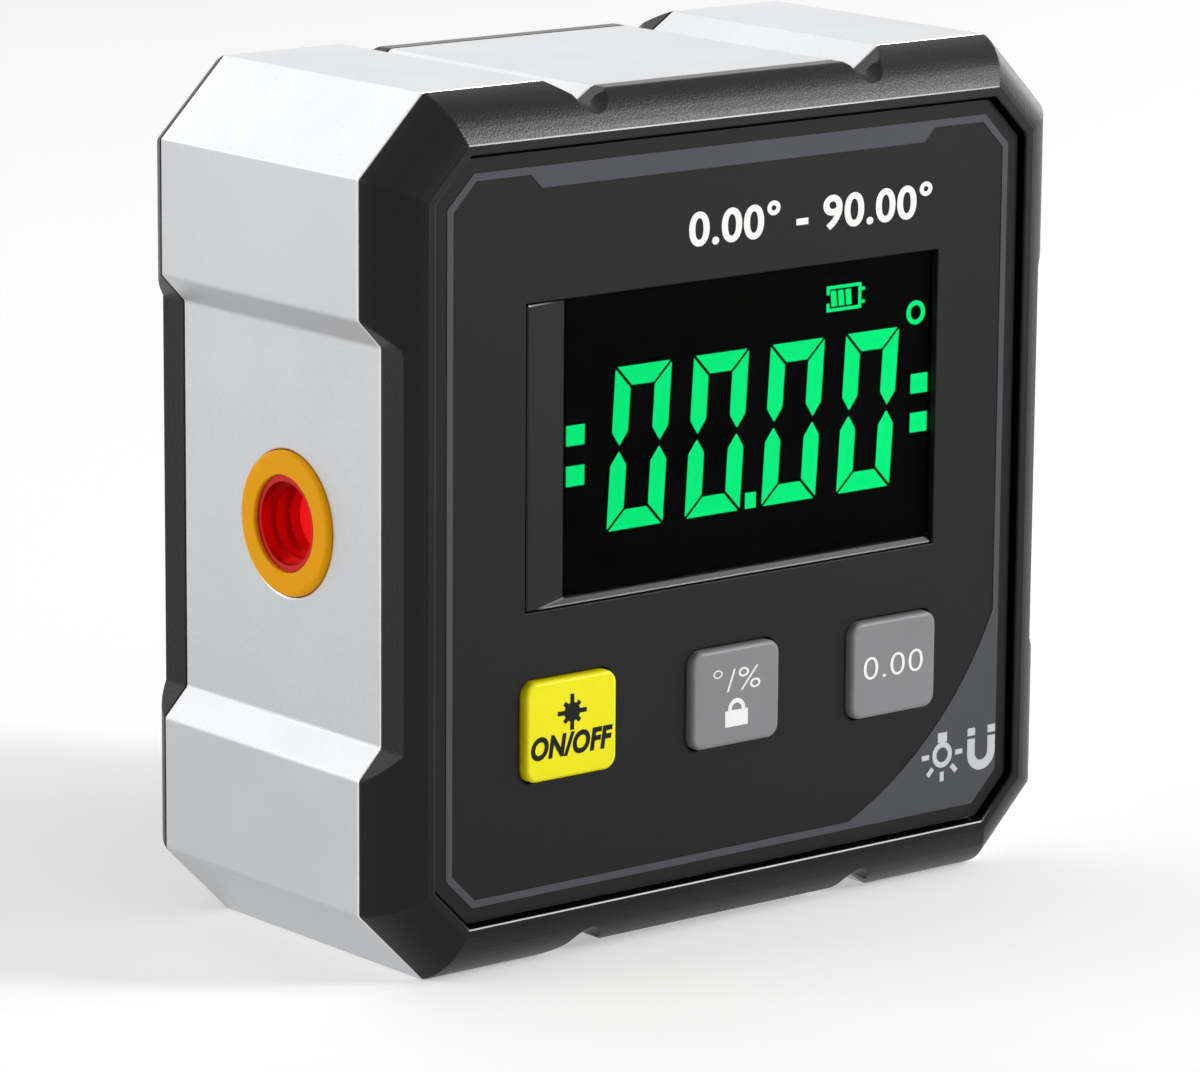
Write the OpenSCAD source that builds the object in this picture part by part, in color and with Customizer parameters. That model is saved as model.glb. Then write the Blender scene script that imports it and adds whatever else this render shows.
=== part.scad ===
// Digital angle gauge: a square extruded frame between two moulded covers.
// X runs to the right, Y from the front face to the back, Z up.
// The origin is the centre of the base, on the plane of the base pads.

/* [Frame] */
// Width and height of the square frame
body_w = 65; // [58:0.5:80]
// Depth of the frame from its front edge to its back edge
frame_d = 24; // [23:0.5:34]
// Flat cut across each outer corner
corner_cut = 5.7; // [4.5:0.1:8]
// Wall left between a side recess and the inside of the frame
frame_wall = 2; // [1.6:0.1:3]
// Depth of the recess in each side
recess_depth = 2; // [1:0.1:3]
// Half length of a side recess at the outer face
recess_half = 16.7; // [14:0.1:20]
// How far each end of a side recess slopes in
recess_run = 2.1; // [0.5:0.1:4]
// Distance from the middle to the inner edge of a pad
pad_edge = 16.1; // [15:0.1:20]
// Distance from the middle to the bottom of a groove
groove_at = 13.2; // [12:0.1:14.5]
// Depth of the groove beside a pad
groove_depth = 1.9; // [1:0.1:2.4]
// Half length of the raised strip between the grooves
strip_half = 11.4; // [9:0.1:11.8]
// How far that strip lies below the pads
strip_drop = 0.75; // [0.2:0.05:0.9]

/* [Covers] */
// How far each cover stands out of the frame
cover_proud = 3.5; // [3:0.1:5]
// How far the rounded edge of a cover runs in
bevel_in = 3.6; // [2.4:0.1:4.5]
// Radius of that rounded edge
bevel_r = 5.3; // [4.5:0.1:12]
// Radius of the scoop where a groove runs out into a cover
scoop_r = 1.8; // [1.4:0.05:2.2]
// Depth of that scoop below the pads, at the edge of the frame
scoop_start = 1; // [0.6:0.05:1.2]
// Slope of that scoop, in degrees
scoop_slope = 23; // [15:1:30]
// Wall of the front cover behind the face plate
front_wall = 1.5; // [1.2:0.1:2.2]
// Wall of the back cover
back_wall = 1.6; // [1.2:0.1:2.2]
// Thickness of the lip that locates a cover in the frame
lip_t = 1.2; // [0.8:0.1:1.4]
// Length of that lip
lip_len = 2; // [1:0.1:3]
// Radius of a screw post
post_r = 2.6; // [2.4:0.05:2.8]
// Distance from the inside of the frame to a post's centre
post_inset = 3.6; // [3.5:0.05:4]

/* [Face plate] */
// Width of the flat rim round the face plate
rim_w = 0.7; // [0.5:0.05:1.4]
// How deep the face plate lies below the rim
plate_recess = 0.6; // [0.5:0.05:1]
// Thickness of the face plate
plate_t = 0.6; // [0.5:0.05:0.8]
// Distance from the plate's edge to the printed border
border_margin = 1.1; // [0.5:0.05:2]
// Width of the printed border
border_w = 0.55; // [0.3:0.05:1]
// Half length of the printed band at its lower edge
band_half = 18.3; // [12:0.1:20]
// Depth of the printed band below the border
band_drop = 1.3; // [0.5:0.05:2]
// Radius of the arc that bounds the printed corner field
field_r = 28.8; // [27:0.1:30]
// Thickness of the printed ink
ink_t = 0.05; // [0.03:0.01:0.1]

/* [Display] */
// Left edge of the display opening
window_left = -19.65; // [-21:0.05:-18.5]
// Right edge of the display opening
window_right = 19.95; // [18.5:0.05:20.5]
// Lower edge of the opening, from the middle of the face
window_low = -5.7; // [-6.2:0.05:-4]
// Upper edge of the opening, from the middle of the face
window_high = 17; // [15:0.05:18]
// Width of the slope on the left of the lens
slope_left = 3.95; // [2:0.05:5]
// Width of the slope below the lens
slope_low = 0.65; // [0.3:0.05:1.5]
// Depth of the lens below the face plate
lens_recess = 0.5; // [0.4:0.05:0.8]
// Thickness of the lens
lens_t = 0.32; // [0.24:0.02:0.6]
// Thickness of the display glass
glass_t = 2.2; // [1.4:0.1:2.6]
// Thickness of the light guide behind the glass
guide_t = 2.8; // [2.5:0.1:3.4]
// Height of a digit
digit_h = 12.1; // [9:0.1:13]
// Width of a digit
digit_w = 5.25; // [4:0.05:5.6]
// Spacing of the digits
digit_pitch = 7.42; // [6.6:0.02:7.6]
// Width of a segment's stroke
stroke = 1.45; // [0.8:0.05:1.6]
// Sideways lean of the digits per unit of height
lean = 0.063; // [0:0.005:0.15]

/* [Keys] */
// Width of a key
key_w = 8.5; // [7:0.1:10]
// Height of a key
key_h = 7.5; // [6:0.1:7.9]
// Spacing of the keys
key_pitch = 15.7; // [13.5:0.1:16.2]
// Height of the keys below the middle of the face
key_drop = 14.55; // [14.4:0.05:15.5]
// Radius of a key's corners
key_corner = 1.05; // [0.7:0.05:1.6]
// Rounding of a key's front edges
key_round = 0.35; // [0.2:0.05:0.6]
// Travel of a key
key_travel = 0.5; // [0.3:0.05:0.6]
// Width of the flange that keeps a key in
key_flange = 1; // [0.6:0.05:1.2]

/* [Light outlets] */
// Outer radius of the coloured ring
ring_r = 5.4; // [4.8:0.05:7]
// Radius of the opening in the ring
ring_bore_r = 3.6; // [3.4:0.05:4.4]
// How far the ring stands out of the recess
ring_proud = 0.4; // [0.3:0.05:0.9]
// Depth of the ring's seat
ring_seat = 1; // [0.6:0.05:1.2]
// Rounding of the ring's outer front edge
ring_round = 0.4; // [0.2:0.05:0.6]
// Rounding of the edge of its opening
ring_bore_round = 0.15; // [0.05:0.05:0.3]
// Radius of the barrel that holds the light source
barrel_r = 3.2; // [2.9:0.05:3.25]
// Length of that barrel
barrel_len = 13; // [11:0.5:14]
// Radius of the barrel's front opening
aperture_r = 2.35; // [1.9:0.05:2.5]

/* [Batteries] */
// Diameter of a cell
cell_d = 10.5; // [10:0.1:10.8]
// Length of a cell with its terminal
cell_len = 44.5; // [42:0.1:45]
// Room for the coil spring at a cell's flat end
spring_room = 3.2; // [2.8:0.1:3.6]
// Thickness of the contact plates
contact_t = 0.3; // [0.2:0.05:0.4]
// Wall of the battery tray
tray_wall = 1; // [0.8:0.05:1.2]
// Thickness of the battery door
door_t = 1; // [0.8:0.05:1.4]
// Ledge that the door lies on
door_ledge = 1.1; // [0.8:0.05:1.3]

/* [Board] */
// Thickness of the circuit board
board_t = 1.6; // [1:0.1:2]
// Half width of the circuit board
board_half_w = 25.2; // [25:0.1:26]
// Gap between the circuit board and the screw posts
board_post_gap = 1.5; // [0.5:0.1:2]
// Side of the controller chip
chip_w = 10; // [6:0.5:12]
// Thickness of the controller chip
chip_t = 1.2; // [0.8:0.1:1.6]
// Side of the tilt sensor
sensor_w = 5; // [3:0.5:7]
// Thickness of the tilt sensor
sensor_t = 1; // [0.6:0.1:1.4]

/* [Magnets] */
// Diameter of a base magnet
magnet_d = 8; // [6:0.1:9]
// Thickness of a base magnet
magnet_t = 2; // [1.5:0.1:2.4]
// Half spacing of the magnets, front to back
magnet_y = 6; // [5:0.1:7]

/* [Clearances] */
// Gap round the face plate
plate_gap = 0.25; // [0.1:0.05:0.4]
// Gap of a sliding fit
slide_gap = 0.15; // [0.1:0.01:0.25]
// Gap of a located fit
seat_gap = 0.1; // [0.05:0.01:0.15]

/* [Hidden] */
$fn = 64;

half_w = body_w / 2;
cavity_inset = recess_depth + frame_wall;
cavity_half = half_w - cavity_inset;
reach = 2 * body_w;

// Depths of the front stack, from the rim to the back of the board
frame_y = frame_d / 2;
rim_y = frame_y + cover_proud;
plate_y = -rim_y + plate_recess;
seat_y = plate_y + plate_t;
wall_y = seat_y + front_wall;
lens_y = plate_y + lens_recess;
segment_gap = 0.04;
segment_t = 0.08;
glass_y = lens_y + lens_t + segment_gap + segment_t;
guide_y = glass_y + glass_t;
board_y = guide_y + guide_t;
board_back = board_y + board_t;

// Rounded edge of a cover: an arc from the frame's edge to the rim
bevel_chord = norm([bevel_in, cover_proud]);
bevel_rise = sqrt(bevel_r * bevel_r - bevel_chord * bevel_chord / 4);
bevel_centre_in = bevel_in / 2 + bevel_rise * cover_proud / bevel_chord;
bevel_centre_y = cover_proud / 2 - bevel_rise * bevel_in / bevel_chord;
corner_dist = (2 * half_w - corner_cut) / sqrt(2);

// Insets from the outer faces
plate_hole_inset = bevel_in + rim_w;
plate_inset = plate_hole_inset + plate_gap;
border_inset = plate_inset + border_margin;
lip_inset = cavity_inset + seat_gap;
inside_inset = lip_inset + lip_t;
post_at = cavity_half - post_inset;

// Display: the lens fills what the slopes leave of the opening
lens_left = window_left + slope_left;
lens_low = window_low + slope_low;
glass_margin = 1.5;
strip_ledge = 3;
digits_x = 2.75;
digits_z = 5.2;
mitre = 0.18;
tip_gap = 0.24;
tip_len = 0.7 * stroke;
point_w = 1;
point_h = 1.2;
mark_w = 1.65;
mark_h = 1.5;
mark_pitch = 3;
mark_edge = 0.5;
degree_r = 0.92;
degree_line = 0.36;
battery_x = digits_x + digit_pitch + 1.15;
battery_rise = 2.85;
battery_z = digits_z + digit_h / 2 + battery_rise;
battery_w = 3.4;
battery_h = 1.95;
battery_line = 0.24;
strip_margin = 0.5;

// Keys
keys_x = [-key_pitch, 0, key_pitch];
key_front = -rim_y;
key_slack = 0.05;
flange_y = wall_y + key_slack;
flange_t = 1;
switch_t = 1.8;
switch_w = 5.2;
plunger_r = 1.5;
plunger_in = 0.3;

// Battery tray
pocket_half = (cell_len + spring_room) / 2 + contact_t;
cell_r = cell_d / 2;
pocket_low = -post_at + post_r + seat_gap + tray_wall;
lower_z = pocket_low + seat_gap + cell_r;
upper_z = lower_z + cell_d + seat_gap;
pocket_high = upper_z + cell_r + seat_gap;
door_y = rim_y - door_t;
pocket_y = door_y - cell_d - 2 * seat_gap;
cell_y = pocket_y + seat_gap + cell_r;
terminal_r = 1.9;
terminal_len = 1;
spring_r = 3;
wire_r = 0.35;
spring_turns = 3;

// Light outlets sit just in front of the battery tray
barrel_gap = 0.4;
barrel_y = pocket_y - tray_wall - barrel_gap - barrel_r;
recess_x = half_w - recess_depth;
barrel_x = recess_x - ring_seat;
collar_r = ring_bore_r - seat_gap / 2;
collar_x = recess_x + ring_proud - 2 * ring_bore_round;
collar_wall = 0.45;
mouth_r = collar_r - collar_wall;
step_r = (mouth_r + aperture_r) / 2;
step_len = 1;
lens_seat = 1.8;
lens_disc_t = 1.2;
diode_bore_r = 2.45;
diode_bore_len = 6;
diode_can = 3.4;
diode_base = 1.2;
diode_step = 0.7;
beam_r = 1.2;

// Screws and board
board_half_h = post_at - post_r - board_post_gap;
post_split = barrel_y;
head_r = 1.75;
head_t = 1.3;
head_sink = 2;
shank_r = 0.95;
pilot_r = 1;
pass_r = 1.15;
screw_grip = 6;
standoff_r = 1.6;
standoff_x = board_half_w - standoff_r;
standoff_rim = 1.5;
standoff_z = board_half_h - standoff_r - standoff_rim;
board_shank_r = 0.7;
board_pilot_r = 0.75;
board_head_r = 1.4;
board_head_t = 0.9;

// Children drawn in X and Z about the middle of the face, given a depth in Y
module slab(y0, y1) {
    translate([0, y1, half_w]) rotate([90, 0, 0]) linear_extrude(y1 - y0) children();
}

// Children drawn as radius against distance out, turned about the outlets' axis
module turned_out() {
    translate([0, barrel_y, half_w]) rotate([0, 90, 0]) rotate_extrude() children();
}

module other_side() {
    mirror([1, 0, 0]) children();
}

module rect(x0, x1, z0, z1) {
    translate([x0, z0]) square([x1 - x0, z1 - z0]);
}

module rounded(w, h, r) {
    square([w - 2 * r, h], center = true);
    square([w, h - 2 * r], center = true);
    for (x = [-1, 1], z = [-1, 1])
        translate([x * (w / 2 - r), z * (h / 2 - r)]) circle(r);
}

// Square with cut corners, set in evenly from the outer faces
module outline(inset) {
    h = half_w - inset;
    c = max(0.2, corner_cut - inset * (2 - sqrt(2)));
    polygon([[h, c - h], [h, h - c], [h - c, h], [c - h, h],
             [-h, h - c], [-h, c - h], [c - h, -h], [h - c, -h]]);
}

// Side recesses, and the grooves and strip between the pads
module relief() {
    over = 1;
    end_run = over * recess_run / recess_depth;
    pad_run = over * (pad_edge - groove_at) / groove_depth;
    for (side = [0, 1]) mirror([side, 0])
        polygon([[half_w + over, recess_half + end_run], [recess_x, recess_half - recess_run],
                 [recess_x, recess_run - recess_half], [half_w + over, -recess_half - end_run]]);
    for (side = [0, 1]) mirror([0, side])
        polygon([[-pad_edge - pad_run, half_w + over], [-groove_at, half_w - groove_depth],
                 [-strip_half, half_w - strip_drop], [strip_half, half_w - strip_drop],
                 [groove_at, half_w - groove_depth], [pad_edge + pad_run, half_w + over]]);
}

module at_posts() {
    for (x = [-1, 1], z = [-1, 1]) translate([x * post_at, z * post_at]) children();
}

module at_standoffs() {
    for (x = [-1, 1], z = [-1, 1]) translate([x * standoff_x, z * standoff_z]) children();
}

module at_keys() {
    for (x = keys_x) translate([x, -key_drop]) children();
}

// One side of a cover as a long bar with the rounded edge along it
module bevel_bar(dist) {
    translate([0, frame_y, -reach / 2]) linear_extrude(reach) {
        translate([-reach, -reach / 2]) square([reach + dist - bevel_centre_in, reach]);
        translate([dist - bevel_centre_in, bevel_centre_y]) circle(bevel_r);
    }
}

// Round scoops in which the four grooves run out into a back cover
module scoops() {
    for (x = [-1, 1], z = [-1, 1])
        translate([x * groove_at, frame_y, half_w + z * (half_w - scoop_start)])
            rotate([-90 - z * scoop_slope, 0, 0]) translate([0, -z * scoop_r, -1])
                cylinder(h = 2 * cover_proud, r = scoop_r);
}

// Solid of a back cover: eight rounded edges meeting in mitres
module cover_blank() {
    difference() {
        intersection() {
            slab(frame_y, rim_y) outline(0);
            translate([0, 0, half_w]) intersection_for (turn = [0 : 45 : 315])
                rotate([0, turn, 0]) bevel_bar(turn % 90 == 0 ? half_w : corner_dist);
        }
        slab(frame_y - 1, rim_y + 1) relief();
        scoops();
    }
}

module lip(y0, y1) {
    slab(y0, y1) difference() {
        outline(lip_inset);
        outline(inside_inset);
    }
}

module frame() {
    color("#b9bcc0") difference() {
        slab(-frame_y, frame_y) difference() {
            outline(0);
            relief();
            outline(cavity_inset);
        }
        for (side = [0, 1]) mirror([side, 0, 0]) turned_out() {
            translate([0, barrel_x]) square([ring_r + seat_gap / 2, recess_depth + ring_seat]);
            translate([0, cavity_half - 1]) square([barrel_r + seat_gap / 2, frame_wall + 1]);
        }
        for (x = [-1, 1], y = [-1, 1])
            translate([x * magnet_x(), y * magnet_y, -1])
                cylinder(r = magnet_d / 2 + seat_gap / 2, h = magnet_t + seat_gap + 1);
    }
}

function magnet_x() = (pad_edge + half_w - corner_cut) / 2;

// Display opening: slopes on the left and below, straight walls elsewhere
module window_funnel() {
    top_y = plate_y - 1;
    steep = (lens_y - plate_y);
    intersection() {
        translate([0, 0, half_w - reach / 2]) linear_extrude(reach)
            polygon([[window_left - slope_left / steep, top_y], [lens_left, lens_y],
                     [window_right, lens_y], [window_right, top_y]]);
        translate([-reach / 2, 0, half_w]) rotate([0, -90, 180]) mirror([0, 1, 0])
            linear_extrude(reach)
            polygon([[window_low - slope_low / steep, top_y], [lens_low, lens_y],
                     [window_high, lens_y], [window_high, top_y]]);
    }
}

module front_cover() {
    color("#1a1a1c") difference() {
        union() {
            difference() {
                mirror([0, 1, 0]) cover_blank();
                slab(-rim_y - 1, seat_y) outline(plate_hole_inset);
                slab(wall_y, -frame_y + 1) outline(inside_inset);
            }
            slab(plate_y + key_slack, wall_y)
                rect(window_left + seat_gap, window_right - seat_gap,
                     window_low + seat_gap, window_high - seat_gap);
            lip(-frame_y, -frame_y + lip_len);
            slab(wall_y, post_split) at_posts() circle(post_r);
            slab(wall_y, board_y) at_standoffs() circle(standoff_r);
        }
        window_funnel();
        slab(lens_y - 1, wall_y + 1) rect(lens_left, window_right, lens_low, window_high);
        slab(glass_y, wall_y + 1) glass_outline(slide_gap);
        slab(seat_y - 1, wall_y + 1) at_keys()
            rounded(key_w + 2 * slide_gap, key_h + 2 * slide_gap, key_corner + slide_gap);
        slab(post_split - screw_grip - 1, post_split + 1) at_posts() circle(pilot_r);
        slab(wall_y, board_y + 1) at_standoffs() circle(board_pilot_r);
    }
}

module face_plate() {
    color("#2d2d2f") slab(plate_y, seat_y) difference() {
        outline(plate_inset);
        rect(window_left, window_right, window_low, window_high);
        at_keys() rounded(key_w + 2 * slide_gap, key_h + 2 * slide_gap, key_corner + slide_gap);
    }
}

// Printed border, the band at its top and the field in its lower right corner
module face_print() {
    band_z = half_w - border_inset - border_w / 2;
    low_z = band_z - band_drop;
    color("#55555d") slab(plate_y - ink_t, plate_y) {
        difference() {
            outline(border_inset);
            outline(border_inset + border_w);
        }
        polygon([[-band_half, low_z], [band_half, low_z],
                 [band_half + band_drop, band_z], [-band_half - band_drop, band_z]]);
        difference() {
            intersection() {
                outline(border_inset + border_w / 2);
                translate([0, -half_w]) square(half_w);
            }
            circle(field_r);
        }
    }
}

module glass_outline(gap) {
    rect(lens_left - glass_margin - gap, window_right + glass_margin + gap,
         lens_low - glass_margin - strip_ledge - gap, window_high + glass_margin + gap);
}

module display_lens() {
    color("#101412", 0.4) slab(lens_y, lens_y + lens_t)
        rect(lens_left + seat_gap, window_right - seat_gap,
             lens_low + seat_gap, window_high - seat_gap);
}

module display_glass() {
    color("#050706") slab(glass_y, glass_y + glass_t) glass_outline(0);
}

// A nought: six bars of a seven-segment digit, mitred at the corners and pointed at the middle
module nought() {
    w = digit_w / 2;
    h = digit_h / 2;
    for (up = [0, 1]) mirror([0, up]) {
        polygon([[mitre - w, h], [w - mitre, h],
                 [w - stroke - mitre, h - stroke], [stroke + mitre - w, h - stroke]]);
        for (side = [0, 1]) mirror([side, 0])
            polygon([[-w, h - mitre], [stroke - w, h - stroke - mitre],
                     [stroke - w, tip_gap + tip_len], [stroke / 2 - w, tip_gap],
                     [-w, tip_gap + tip_len]]);
    }
}

module display_segments() {
    color("#10f078") slab(glass_y - segment_t, glass_y) {
        multmatrix([[1, lean, 0, digits_x - lean * digits_z], [0, 1, 0, 0], [0, 0, 1, 0]])
            for (i = [-1.5 : 1 : 1.5]) translate([i * digit_pitch, digits_z]) nought();
        translate([digits_x - lean * digit_h / 2, digits_z - digit_h / 2 + point_h / 2])
            square([point_w, point_h], center = true);
        for (x = [lens_left + mark_edge + mark_w / 2, window_right - seat_gap - mark_w / 2], z = [-1, 1])
            translate([x, digits_z + z * mark_pitch / 2]) square([mark_w, mark_h], center = true);
        translate([window_right - seat_gap - degree_r - degree_line, digits_z + digit_h / 2 + degree_r])
            difference() {
                circle(degree_r);
                circle(degree_r - degree_line);
            }
        translate([battery_x, battery_z]) battery_sign();
    }
}

// Battery sign: an open outline with two terminal ticks and three leaning bars
module battery_sign() {
    inner_w = battery_w - 2 * battery_line;
    inner_h = battery_h - 2 * battery_line;
    bar = inner_w / 4;
    slit = battery_line / 2;
    tall = inner_h * 0.4;
    difference() {
        square([battery_w, battery_h], center = true);
        square([inner_w, inner_h], center = true);
        translate([-battery_w / 2, 0]) square([battery_w / 4, battery_h / 3], center = true);
    }
    for (z = [-1, 1]) translate([battery_w / 2 + battery_line / 2, z * battery_h / 4])
        square([2 * battery_line, battery_line], center = true);
    for (i = [0 : 2]) translate([(i - 1.8) * bar, 0])
        polygon([[slit, -tall], [bar - slit, -tall], [bar - 2 * slit, tall], [0, tall]]);
}

module light_guide() {
    color("#e8ece6") slab(guide_y, board_y)
        rect(lens_left - glass_margin, window_right + glass_margin,
             lens_low - glass_margin, window_high + glass_margin);
}

// Conductive rubber between the glass and the board
module contact_strip() {
    low = lens_low - glass_margin - strip_ledge;
    color("#d6a9b4") slab(guide_y, board_y)
        rect(lens_left, window_right, low + strip_margin, low + strip_ledge - strip_margin);
}

module circuit_board() {
    color("#1f6b3a") slab(board_y, board_back) difference() {
        square([2 * board_half_w, 2 * board_half_h], center = true);
        at_standoffs() circle(board_pilot_r + seat_gap);
    }
}

module controller_chip() {
    color("#222222") slab(board_back, board_back + chip_t)
        translate([-chip_w, -chip_w]) square(chip_w, center = true);
}

module tilt_sensor() {
    color("#2b2b2b") slab(board_back, board_back + sensor_t)
        translate([2 * sensor_w, 2 * sensor_w]) square(sensor_w, center = true);
}

module key_switches() {
    color("#8d9096") slab(board_y - switch_t, board_y) at_keys() difference() {
        square(switch_w, center = true);
        circle(plunger_r + slide_gap);
    }
}

// Key rounded at its front edges and corners, and the flange behind the cover that keeps it in
module key(x) {
    run_w = key_w - 2 * key_corner;
    run_h = key_h - 2 * key_corner;
    translate([x, 0, -key_drop]) {
        translate([0, 0, half_w - run_h / 2]) linear_extrude(run_h) key_section(key_w);
        translate([run_w / 2, 0, half_w]) rotate([0, -90, 0]) linear_extrude(run_w) key_section(key_h);
        for (i = [-1, 1], k = [-1, 1])
            translate([i * run_w / 2, 0, half_w + k * run_h / 2]) rotate([-90, 0, 0])
                rotate_extrude() key_profile(key_corner);
        slab(flange_y, flange_y + flange_t)
            square([key_w + 2 * key_flange, key_h + 2 * key_flange], center = true);
    }
}

// Half of a key's section, from its middle out to a rounded front edge
module key_profile(reach_out) {
    back = flange_y + flange_t / 2;
    rect(0, reach_out, key_front + key_round, back);
    rect(0, reach_out - key_round, key_front, back);
    translate([reach_out - key_round, key_front + key_round]) circle(key_round);
}

module key_section(w) {
    for (side = [0, 1]) mirror([side, 0]) key_profile(w / 2);
}

module plunger(x) {
    translate([x, 0, -key_drop])
        slab(flange_y + flange_t, board_y - switch_t + plunger_in) circle(plunger_r);
}

module power_key() { color("#eceb1c") key(keys_x[0]); }
module hold_key() { color("#868688") key(keys_x[1]); }
module zero_key() { color("#868688") key(keys_x[2]); }
module power_plunger() { color("#3a3a3a") plunger(keys_x[0]); }
module hold_plunger() { color("#3a3a3a") plunger(keys_x[1]); }
module zero_plunger() { color("#3a3a3a") plunger(keys_x[2]); }

module right_ring() {
    front = recess_x + ring_proud;
    color("#f59a14") turned_out() {
        rect(ring_bore_r, ring_r, barrel_x, front - ring_round);
        rect(ring_bore_r, ring_r - ring_round, barrel_x, front - ring_bore_round);
        rect(ring_bore_r + ring_bore_round, ring_r - ring_round, barrel_x, front);
        translate([ring_r - ring_round, front - ring_round]) circle(ring_round);
        translate([ring_bore_r + ring_bore_round, front - ring_bore_round]) circle(ring_bore_round);
    }
}

// Barrel with a collar inside the ring, a stepped opening, a narrow beam hole and a bore for the light source
module right_barrel() {
    back = barrel_x - barrel_len;
    color("#a3201f") turned_out() difference() {
        union() {
            rect(0, barrel_r, back, barrel_x);
            rect(0, collar_r, barrel_x, collar_x);
        }
        rect(-1, mouth_r, barrel_x, collar_x + 1);
        rect(-1, step_r, barrel_x - step_len, barrel_x + 1);
        rect(-1, aperture_r, barrel_x - lens_seat - lens_disc_t, barrel_x + 1);
        rect(-1, beam_r, back - 1, barrel_x);
        rect(-1, diode_bore_r, back - 1, back + diode_bore_len);
    }
}

module right_lens() {
    color("#d23a3a") turned_out()
        rect(0, aperture_r - seat_gap / 2, barrel_x - lens_seat - lens_disc_t, barrel_x - lens_seat);
}

module right_diode() {
    bore_end = barrel_x - barrel_len + diode_bore_len;
    color("#c9a24a") turned_out() {
        rect(0, diode_bore_r - seat_gap / 2, bore_end - diode_can - diode_base, bore_end - diode_can);
        rect(0, diode_bore_r - diode_step, bore_end - diode_can - diode_base, bore_end - seat_gap);
    }
}

module left_ring() { other_side() right_ring(); }
module left_barrel() { other_side() right_barrel(); }
module left_lens() { other_side() right_lens(); }
module left_diode() { other_side() right_diode(); }

module base_magnets() {
    color("#8f9297") for (x = [-1, 1], y = [-1, 1])
        translate([x * magnet_x(), y * magnet_y, seat_gap])
            cylinder(d = magnet_d, h = magnet_t);
}

module tray_outline(wall) {
    rect(-pocket_half - wall, pocket_half + wall, pocket_low - wall, pocket_high + wall);
}

module back_cover() {
    color("#1a1a1c") difference() {
        union() {
            difference() {
                cover_blank();
                slab(frame_y - 1, rim_y - back_wall) outline(inside_inset);
            }
            lip(frame_y - lip_len, frame_y);
            slab(post_split, rim_y - back_wall) at_posts() circle(post_r);
            slab(pocket_y - tray_wall, rim_y - back_wall) tray_outline(tray_wall);
        }
        slab(pocket_y, rim_y + 1) tray_outline(0);
        slab(door_y, rim_y + 1) tray_outline(door_ledge);
        slab(rim_y - head_sink, rim_y + 1) at_posts() circle(head_r + seat_gap);
        slab(post_split - 1, rim_y) at_posts() circle(pass_r);
    }
}

// Door with a finger scoop at its upper edge and three grip grooves below it
module battery_door() {
    scoop_r = 7;
    scoop_in = 1;
    grip_w = 12;
    grip_drop = 3.2;
    grip_pitch = 1.4;
    color("#1a1a1c") difference() {
        slab(door_y, rim_y) tray_outline(door_ledge - slide_gap);
        translate([0, rim_y + scoop_r - door_t / 2, half_w + pocket_high + door_ledge - scoop_in])
            rotate([0, 90, 0]) cylinder(r = scoop_r, h = grip_w, center = true);
        slab(rim_y - door_t / 4, rim_y + 1) for (i = [1 : 3])
            translate([0, pocket_high - grip_drop - i * grip_pitch])
                square([grip_w, grip_pitch / 2], center = true);
    }
}

// Round cell along X with its terminal at the positive end
module cell(z, turn) {
    translate([0, cell_y, half_w + z]) rotate([0, 90 + turn, 0])
        translate([0, 0, spring_room / 2 - cell_len / 2]) rotate_extrude() {
            square([cell_r, cell_len - terminal_len]);
            square([terminal_r, cell_len]);
        }
}

module upper_cell() { color("#3f5f8f") cell(upper_z, 0); }
module lower_cell() { color("#3f5f8f") cell(lower_z, 180); }

// Wire swept along a helix, as rings of six points joined by quads
module coil(length, radius, turns) {
    per_turn = 12;
    sides = 6;
    steps = turns * per_turn;
    points = [for (i = [0 : steps], j = [0 : sides - 1])
        let (a = 360 * i / per_turn, b = 360 * j / sides, r = radius + wire_r * cos(b))
            [r * cos(a), r * sin(a), wire_r * sin(b) + wire_r + i / steps * (length - 2 * wire_r)]];
    walls = [for (i = [0 : steps - 1], j = [0 : sides - 1])
        let (k = (j + 1) % sides)
            [i * sides + j, (i + 1) * sides + j, (i + 1) * sides + k, i * sides + k]];
    caps = [[for (j = [0 : sides - 1]) j],
            [for (j = [sides - 1 : -1 : 0]) steps * sides + j]];
    polyhedron(points, concat(walls, caps));
}

module cell_springs() {
    color("#c8ccd0") for (pair = [[upper_z, 0], [lower_z, 180]])
        translate([0, cell_y, half_w + pair[0]]) rotate([0, 90 + pair[1], 0])
            translate([0, 0, contact_t - pocket_half]) coil(spring_room, spring_r, spring_turns);
}

module contact_plate(x, z0, z1) {
    wide = cell_r * 1.4;
    translate([x, cell_y - wide / 2, half_w + z0]) cube([contact_t, wide, z1 - z0]);
}

module link_contact() {
    color("#c8ccd0") contact_plate(-pocket_half, lower_z - cell_r / 2, upper_z + cell_r / 2);
}

module end_contacts() {
    color("#c8ccd0") for (z = [lower_z, upper_z])
        contact_plate(pocket_half - contact_t, z - cell_r * 0.7, z + cell_r * 0.7);
}

module board_screws() {
    color("#9a9da2") {
        slab(wall_y + 0.5, board_back + board_head_t / 2) at_standoffs() circle(board_shank_r);
        slab(board_back, board_back + board_head_t) at_standoffs() circle(board_head_r);
    }
}

module cross_slot() {
    square([2 * head_r * 0.75, 0.5], center = true);
    square([0.5, 2 * head_r * 0.75], center = true);
}

module cover_screws() {
    head_y = rim_y - head_sink;
    color("#3b3d40") difference() {
        union() {
            slab(head_y, head_y + head_t) at_posts() circle(head_r);
            slab(post_split - screw_grip, head_y + head_t / 2) at_posts() circle(shank_r);
        }
        slab(head_y + head_t / 2, head_y + head_t + 1) at_posts() cross_slot();
    }
}

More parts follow.
